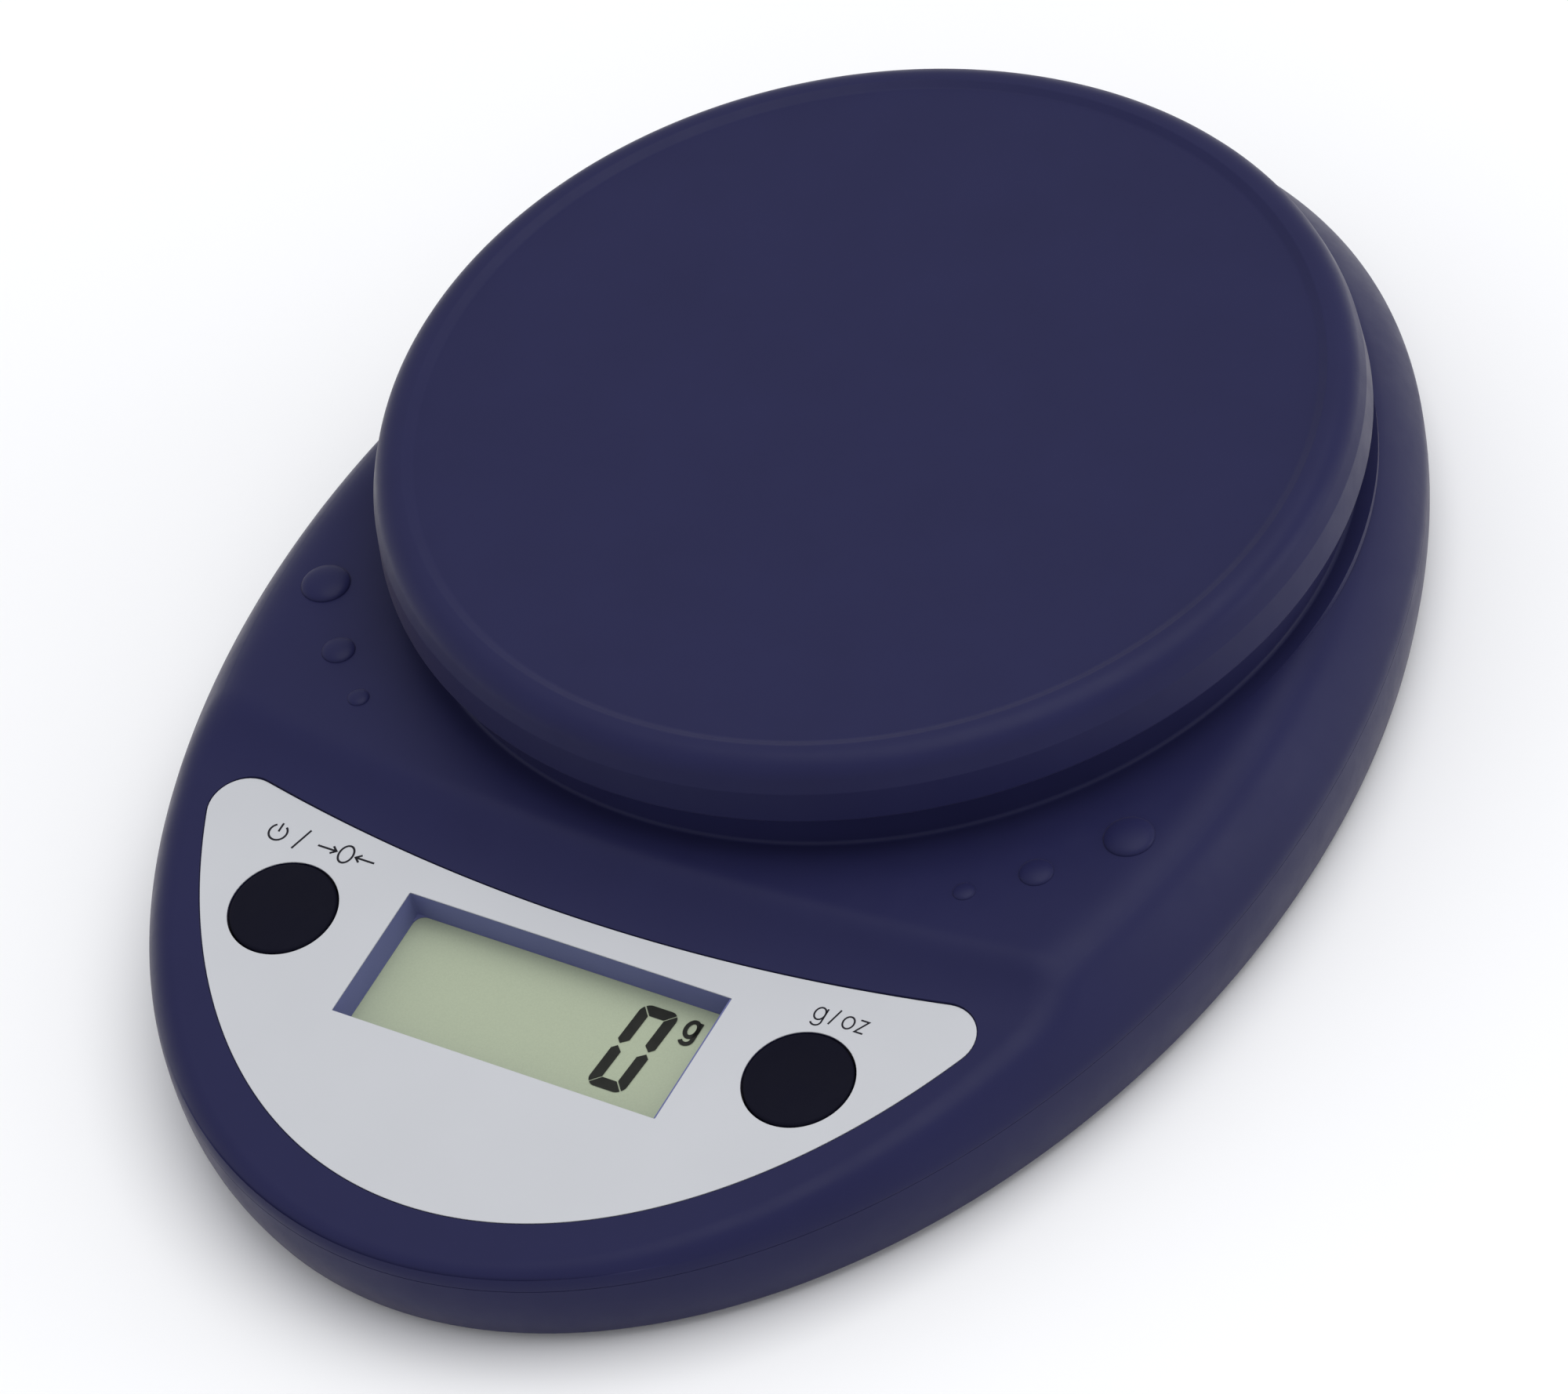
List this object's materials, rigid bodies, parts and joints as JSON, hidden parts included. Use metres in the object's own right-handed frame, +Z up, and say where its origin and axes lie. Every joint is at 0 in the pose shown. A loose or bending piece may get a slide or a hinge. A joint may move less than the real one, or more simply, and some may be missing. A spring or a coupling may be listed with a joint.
{
  "type": "kitchen scale",
  "caption": "Compact oval digital kitchen scale with a round platform over a load cell, a sloping console with an LCD, and push buttons.",
  "frame": {"origin": "centre of the bounding box at the level of the feet's soles", "axes": "+X to the right, -Y to the front where the display is, +Z up"},
  "size_m": [0.1524, 0.2172, 0.0404],
  "materials": {
    "navy_plastic": "fine satin moulded, dark blue",
    "silver_label": "satin silver film",
    "lcd_glass": "smooth grey-green",
    "black_plastic": "moulded",
    "button_black": "satin moulded",
    "grey_plastic": "moulded",
    "board_green": "solder mask",
    "aluminium": "milled",
    "white_silicone": "soft sealant",
    "grey_lead": "cable jacket",
    "red_lead": "cable jacket",
    "black_lead": "cable jacket",
    "battery_jacket": "printed jacket on steel",
    "steel": "zinc plated",
    "rubber": "matte"
  },
  "bodies": {
    "body": {"lower_housing": "navy_plastic", "upper_housing": "navy_plastic", "face_label": "silver_label", "lcd_module": "lcd_glass", "lcd_connector": "black_plastic", "circuit_board": "board_green", "controller_blob": "black_plastic", "board_screw_left": "steel", "board_screw_right": "steel", "left_switch_body": "black_plastic", "right_switch_body": "black_plastic", "load_cell": "aluminium", "gauge_potting_upper": "white_silicone", "gauge_potting_lower": "white_silicone", "load_cell_lead": "grey_lead", "anchor_screw_1": "steel", "anchor_screw_2": "steel", "battery_1": "battery_jacket", "battery_2": "battery_jacket", "contact_plate_positive": "steel", "contact_plate_negative": "steel", "contact_bridge": "steel", "contact_spring_1": "steel", "contact_spring_2": "steel", "battery_lead_red": "red_lead", "battery_lead_black": "black_lead", "housing_screw_left_rear": "steel", "housing_screw_left_middle": "steel", "housing_screw_left_front": "steel", "housing_screw_right_rear": "steel", "housing_screw_right_middle": "steel", "housing_screw_right_front": "steel", "foot_left_rear": "rubber", "foot_left_front": "rubber", "foot_right_rear": "rubber", "foot_right_front": "rubber"},
    "platform": {"weighing_platform": "navy_plastic", "platform_carrier": "grey_plastic", "carrier_screw_1": "steel", "carrier_screw_2": "steel"},
    "left_button": {"left_button_cap": "button_black", "left_switch_plunger": "grey_plastic"},
    "right_button": {"right_button_cap": "button_black", "right_switch_plunger": "grey_plastic"},
    "battery_lid": {"battery_door": "navy_plastic"}
  },
  "joints": [
    {"name": "platform_press", "type": "slide", "parent": "body", "child": "platform", "axis": [0, 0, 1], "range_m": [-0.0005, 0], "stiffness_N_per_m": 90000, "springref_m": 0.00002},
    {"name": "left_button_press", "type": "slide", "parent": "body", "child": "left_button", "axis": [0, 0.0924, -0.9957], "range_m": [0, 0.0006], "stiffness_N_per_m": 2500, "springref_m": -0.0001},
    {"name": "right_button_press", "type": "slide", "parent": "body", "child": "right_button", "axis": [0, 0.0924, -0.9957], "range_m": [0, 0.0006], "stiffness_N_per_m": 2500, "springref_m": -0.0001},
    {"name": "battery_lid_hinge", "type": "hinge", "parent": "body", "child": "battery_lid", "pos_m": [0.028, 0.0463, 0.0029], "axis": [1, 0, 0], "range_deg": [0, 75]}
  ]
}
